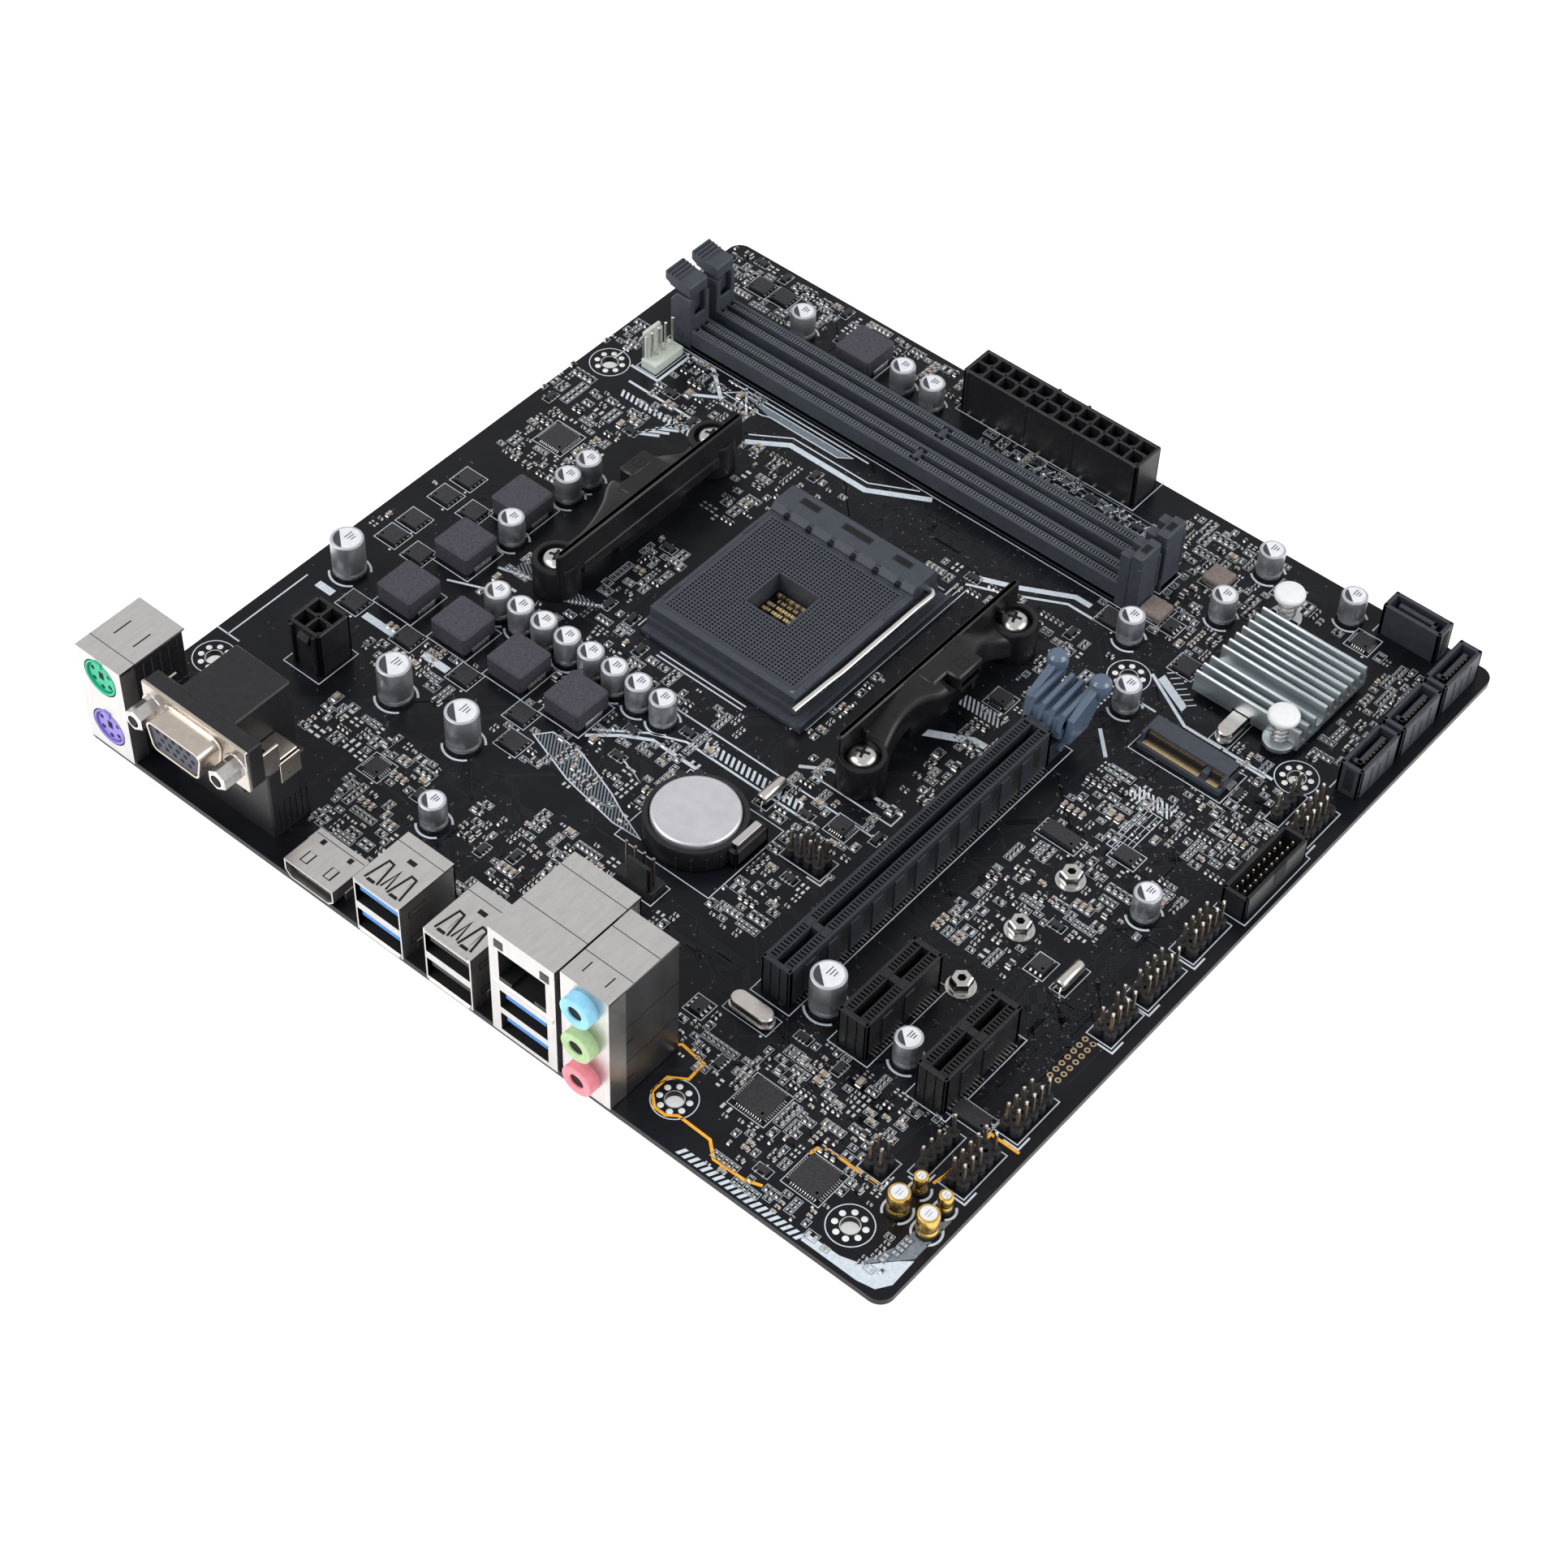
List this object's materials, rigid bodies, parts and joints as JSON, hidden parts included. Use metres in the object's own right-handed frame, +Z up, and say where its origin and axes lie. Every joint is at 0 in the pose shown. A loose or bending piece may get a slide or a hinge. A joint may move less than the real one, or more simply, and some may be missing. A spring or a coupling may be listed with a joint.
{
  "type": "computer motherboard",
  "caption": "Micro-ATX computer motherboard with a processor socket, memory and expansion slots, rear ports, hinged lever, latches and a lift-out button cell.",
  "frame": {"origin": "centre of the first screw hole on the board's underside: the hole nearest the mouse and keyboard port", "axes": "+X from the rear ports towards the board's front edge, +Y towards the edge with the memory latches, +Z up out of the component side"},
  "size_m": [0.227, 0.226, 0.0389],
  "materials": {
    "board": "semi-gloss black solder mask",
    "socket_plastic": "matt dark slate",
    "black_plastic": "matt black",
    "slate_plastic": "matt slate grey",
    "pale_plastic": "matt off-white",
    "clip_plastic": "satin translucent blue-grey",
    "steel": "bright",
    "nickel_sheet": "nickel plated sheet",
    "aluminium": "satin",
    "gold_contacts": "gold plated",
    "tinned_pins": "tin plated brass",
    "choke": "moulded ferrite, matt",
    "gold_can": "gold sleeve",
    "package": "moulded epoxy",
    "ceramic": "ceramic with tinned ends",
    "chipset_die": "package substrate and die",
    "mouse_green": "matt green",
    "keyboard_purple": "matt purple",
    "usb_blue": "matt blue",
    "vga_block": "matt dark blue-grey",
    "jack_plastic": "matt, one colour a jack"
  },
  "bodies": {
    "board": {"circuit_board": "board", "cpu_socket_base": "socket_plastic", "cooler_bracket_upper": "black_plastic", "cooler_bracket_lower": "black_plastic", "bracket_screws": "steel", "cooler_backplate": "steel", "memory_slot_1": "slate_plastic", "memory_slot_2": "slate_plastic", "slot_contacts": "gold_contacts", "pcie_x16_slot": "slate_plastic", "pcie_x1_slots": "slate_plastic", "m2_socket": "slate_plastic", "m2_standoffs": "steel", "sata_ports": "slate_plastic", "main_power_housing": "black_plastic", "cpu_power_housing": "black_plastic", "power_pins": "tinned_pins", "cpu_fan_header": "pale_plastic", "chassis_fan_header": "black_plastic", "header_blocks": "black_plastic", "header_pins": "tinned_pins", "usb3_header_shroud": "black_plastic", "chipset": "chipset_die", "chipset_heatsink": "aluminium", "heatsink_push_pins": "pale_plastic", "push_pin_springs": "steel", "battery_holder": "black_plastic", "battery_clip": "nickel_sheet", "chokes": "choke", "capacitor_cans": "aluminium", "capacitor_bases": "black_plastic", "audio_capacitors": "gold_can", "power_transistors": "package", "chips": "package", "crystals": "nickel_sheet", "chip_components": "ceramic", "ps2_shell": "nickel_sheet", "ps2_body": "black_plastic", "ps2_mouse_socket": "mouse_green", "ps2_keyboard_socket": "keyboard_purple", "vga_housing": "black_plastic", "vga_shell": "nickel_sheet", "vga_contact_block": "vga_block", "vga_jackscrews": "nickel_sheet", "hdmi_shell": "nickel_sheet", "hdmi_tongue": "black_plastic", "usb_shells": "nickel_sheet", "usb3_tongues": "usb_blue", "usb2_tongues": "black_plastic", "lan_usb_shell": "nickel_sheet", "lan_jack_insert": "black_plastic", "audio_housing": "black_plastic", "audio_shield": "nickel_sheet", "audio_jacks": "jack_plastic"},
    "socket_cover": {"cpu_socket_cover": "socket_plastic"},
    "socket_lever": {"cpu_socket_lever": "steel"},
    "memory_latch_a": {"memory_latch_1": "slate_plastic"},
    "memory_latch_b": {"memory_latch_2": "slate_plastic"},
    "slot_clip": {"pcie_x16_latch": "clip_plastic"},
    "button_cell": {"battery": "steel"}
  },
  "joints": [
    {"name": "socket_lever_hinge", "type": "hinge", "parent": "board", "child": "socket_lever", "pos_m": [0.11978, -0.0871, 0.006], "axis": [0, 1, 0], "range_deg": [0, 95]},
    {"name": "socket_cover_slide", "type": "slide", "parent": "board", "child": "socket_cover", "axis": [-1, 0, 0], "range_m": [0, 0.0008]},
    {"name": "memory_latch_1_hinge", "type": "hinge", "parent": "board", "child": "memory_latch_a", "pos_m": [0.15228, -0.0081, 0.0048], "axis": [-1, 0, 0], "range_deg": [0, 28]},
    {"name": "memory_latch_2_hinge", "type": "hinge", "parent": "board", "child": "memory_latch_b", "pos_m": [0.16193, -0.0081, 0.0048], "axis": [-1, 0, 0], "range_deg": [0, 28]},
    {"name": "slot_clip_hinge", "type": "hinge", "parent": "board", "child": "slot_clip", "pos_m": [0.10238, -0.1561, 0.0046], "axis": [0, 1, 0], "range_deg": [0, 22]},
    {"name": "battery_lift", "type": "slide", "parent": "board", "child": "button_cell", "axis": [0, 0, 1], "range_m": [0, 0.01]}
  ],
  "couplings": [
    {"joint": "socket_cover_slide", "follows": "socket_lever_hinge", "m_per_rad": 0.000482}
  ]
}
